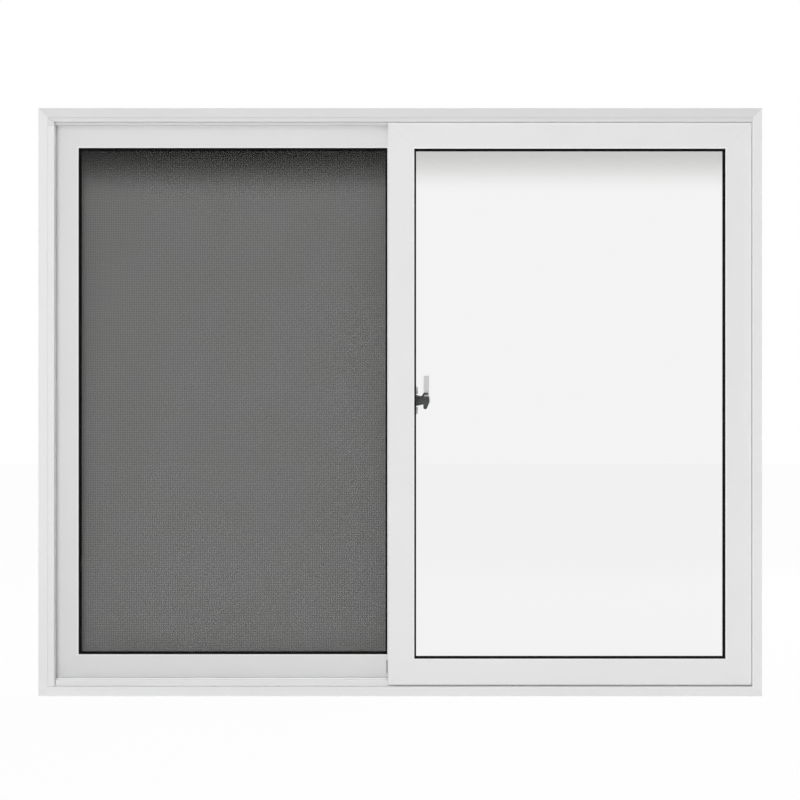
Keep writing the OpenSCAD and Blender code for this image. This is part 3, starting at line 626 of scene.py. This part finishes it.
# Rubber buffer on the front sash's interlock: it meets the jamb when the sash is slid open
def slideBuffer(material):
    low, high = buffer["low"], buffer["high"]
    block = startBox(low, high)
    bpy.ops.object.mode_set(mode="EDIT")
    pick(block, "FACE", lambda face: face.normal.x < -0.9)
    bpy.ops.mesh.inset(thickness=buffer["rim"], depth=0)
    grow((-buffer["pad"], 0, 0), buffer["padScale"], (low + high) / 2)
    pick(block, "EDGE", lambda edge: edge.calc_face_angle(0) > radians(20)
         and min(v.co.x for v in edge.verts) < high.x - 0.1 * mm)
    bpy.ops.mesh.bevel(offset=buffer["edge"], segments=2, affect="EDGES")
    bpy.ops.object.mode_set(mode="OBJECT")
    bpy.ops.object.shade_smooth_by_angle(angle=smoothAngle)
    return finishPiece(block, "slideBuffer", material)


tab = {
    "length": 23 * mm,
    "height": 12 * mm,
    "thick": 0.3 * mm,
    "corner": 3.5 * mm,
    "rim": 1.4 * mm,            # round the raised grip
    "proud": 0.12 * mm,
    "held": 1.5 * mm,           # from the cord's outer edge to the tab's root
    "behind": 0.02 * mm,        # the mesh
    "level": 300 * mm,
}

# Pull tab of the screen: one end is pressed in beside the cord, the other is free to grip
def pullTab(name, root, material):
    far = root + tab["length"]
    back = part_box("screen_mesh")[1].y + tab["behind"]
    low = Vector((root, back, tab["level"] - tab["height"] / 2))
    high = Vector((far, back + tab["thick"], tab["level"] + tab["height"] / 2))
    flap = startBox(low, high)
    bpy.ops.object.mode_set(mode="EDIT")
    pick(flap, "EDGE", lambda edge: abs(edge.verts[0].co.x - far) < 1 * mm
         and abs(edge.verts[0].co.y - edge.verts[1].co.y) > 0.5 * tab["thick"])
    bpy.ops.mesh.bevel(offset=tab["corner"], segments=6, affect="EDGES")
    pick(flap, "FACE", lambda face: face.normal.y > 0.9)
    bpy.ops.mesh.inset(thickness=tab["rim"], depth=0)
    pick(flap, "FACE", lambda face: face.normal.y > 0.9
         and face.calc_area() < 0.5 * tab["length"] * tab["height"])
    bpy.ops.mesh.extrude_region_move(TRANSFORM_OT_translate={"value": (0, tab["proud"], 0)})
    bpy.ops.object.mode_set(mode="OBJECT")
    bpy.ops.object.shade_smooth_by_angle(angle=smoothAngle)
    return finishPiece(flap, name, material)


def makeFittings():
    low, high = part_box("latch_base")
    middle = (low + high) / 2
    at = Vector((low.x + screw["seat"], middle.y, middle.z - screw["apart"] / 2))
    lower = latchScrew("latchScrew1", at, grainy("zincPlatedSteel"))
    copyPiece(lower, "latchScrew2", move=(0, 0, screw["apart"]))
    slideBuffer(nodes["front_gaskets"].data.materials[0])
    left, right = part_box("screen_spline")
    pressed = pullTab("pullTabLeft", left.x + tab["held"], grainy("mouldedPolyethylene"))
    copyPiece(pressed, "pullTabRight", mirrorAt=(left.x + right.x) / 2)


makeFittings()
print("fittings made")


# Camera, lights and floor

view = {
    "distance": 5.5,            # from the frame's front face
    "picture": 800,             # pixels across
    "frameWidth": 723.7,        # pixels across, in that picture
    "sensor": 36.0,
    "raise": 3.6 * mm,          # of the lens over the window's middle
    "aside": -0.3 * mm,
}

def placeCamera():
    middle = (cadLow + cadHigh) / 2
    width = cadHigh.x - cadLow.x
    data = bpy.data.cameras.new("camera")
    data.sensor_width = view["sensor"]
    share = view["frameWidth"] / view["picture"]
    data.lens = view["sensor"] * view["distance"] * share / width
    data.clip_end = 100
    camera = bpy.data.objects.new("camera", data)
    camera.location = (
        middle.x + view["aside"], cadLow.y - view["distance"], middle.z + view["raise"])
    camera.rotation_euler = (radians(90), 0, 0)
    bpy.context.scene.collection.objects.link(camera)
    bpy.context.scene.camera = camera


lights = {
    # name: place, size in metres, watts
    "key": ((-0.5, -4.4, 1.65), 0.7, 21),
    "front": ((-0.7, -4.5, 0.38), 0.74, 69),
    "left": ((-3.4, -0.1, 0.7), 1.2, 25),
    "right": ((3.4, 0.1, 0.9), 1.2, 24),
    "top": ((0.0, -0.3, 3.4), 1.2, 10),
    "back": ((1.2, 3.2, 2.4), 2.4, 70),
}
aim = Vector((0, 0, 0.45))
surround = {"ambient": 0.32, "seen": 1.0}

def aimLamp(name, place, size, watts):
    data = bpy.data.lights.new(name, "AREA")
    data.size = size
    data.energy = watts
    lamp = bpy.data.objects.new(name, data)
    lamp.location = place
    lamp.rotation_euler = (aim - Vector(place)).to_track_quat("-Z", "Y").to_euler()
    if name != "top":           # it would show as a square in the glass, or glare on the frame
        lamp.visible_glossy = lamp.visible_transmission = False
    bpy.context.scene.collection.objects.link(lamp)


# Is this ray one that looks at the surroundings, straight or by way of glass or gloss?
def lookingRay(tree):
    path = addNode(tree, "ShaderNodeLightPath")
    first = addNode(tree, "ShaderNodeMath", {
        0: path.outputs["Is Camera Ray"], 1: path.outputs["Is Glossy Ray"]}, operation="MAXIMUM")
    looking = addNode(tree, "ShaderNodeMath", {
        0: first.outputs[0], 1: path.outputs["Is Transmission Ray"]}, operation="MAXIMUM")
    return looking.outputs[0]


def makeWorld():
    world = bpy.data.worlds.new("studio")
    world.use_nodes = True
    bpy.context.scene.world = world
    tree = world.node_tree
    background = tree.nodes["Background"]
    strength = addNode(tree, "ShaderNodeMapRange", {
        "Value": lookingRay(tree), "To Min": surround["ambient"], "To Max": surround["seen"]})
    background.inputs["Color"].default_value = (1, 1, 1, 1)
    tree.links.new(strength.outputs[0], background.inputs["Strength"])


# The floor is pale and matt. Where it is looked at, most of it is plain white, and the rest
# keeps the shadow
floorLook = {"size": 40.0, "colour": "#F4F4F4", "roughness": 0.9, "white": 0.97}

def makeFloor():
    bpy.ops.object.select_all(action="DESELECT")
    bpy.ops.mesh.primitive_plane_add(size=floorLook["size"], location=(0, 0, 0))
    floor = bpy.context.active_object
    floor.name = "floor"
    material, tree, shader = newMaterial("paleFloor")
    shader.inputs["Base Color"].default_value = hexToLinear(floorLook["colour"])
    shader.inputs["Roughness"].default_value = floorLook["roughness"]
    shader.inputs["Specular IOR Level"].default_value = 0.0
    glow = addNode(tree, "ShaderNodeEmission", {"Color": (1, 1, 1, 1), "Strength": 1.0})
    share = addNode(tree, "ShaderNodeMath", {
        0: lookingRay(tree), 1: floorLook["white"]}, operation="MULTIPLY")
    mix = addNode(tree, "ShaderNodeMixShader", {
        0: share.outputs[0], 1: shader.outputs[0], 2: glow.outputs[0]})
    tree.links.new(mix.outputs[0], tree.nodes["Material Output"].inputs["Surface"])
    floor.data.materials.append(material)


placeCamera()
for name, (place, size, watts) in lights.items():
    aimLamp(name, place, size, watts)
makeWorld()
makeFloor()
bpy.context.scene.view_settings.view_transform = "Standard"
print("camera, lights and floor placed")
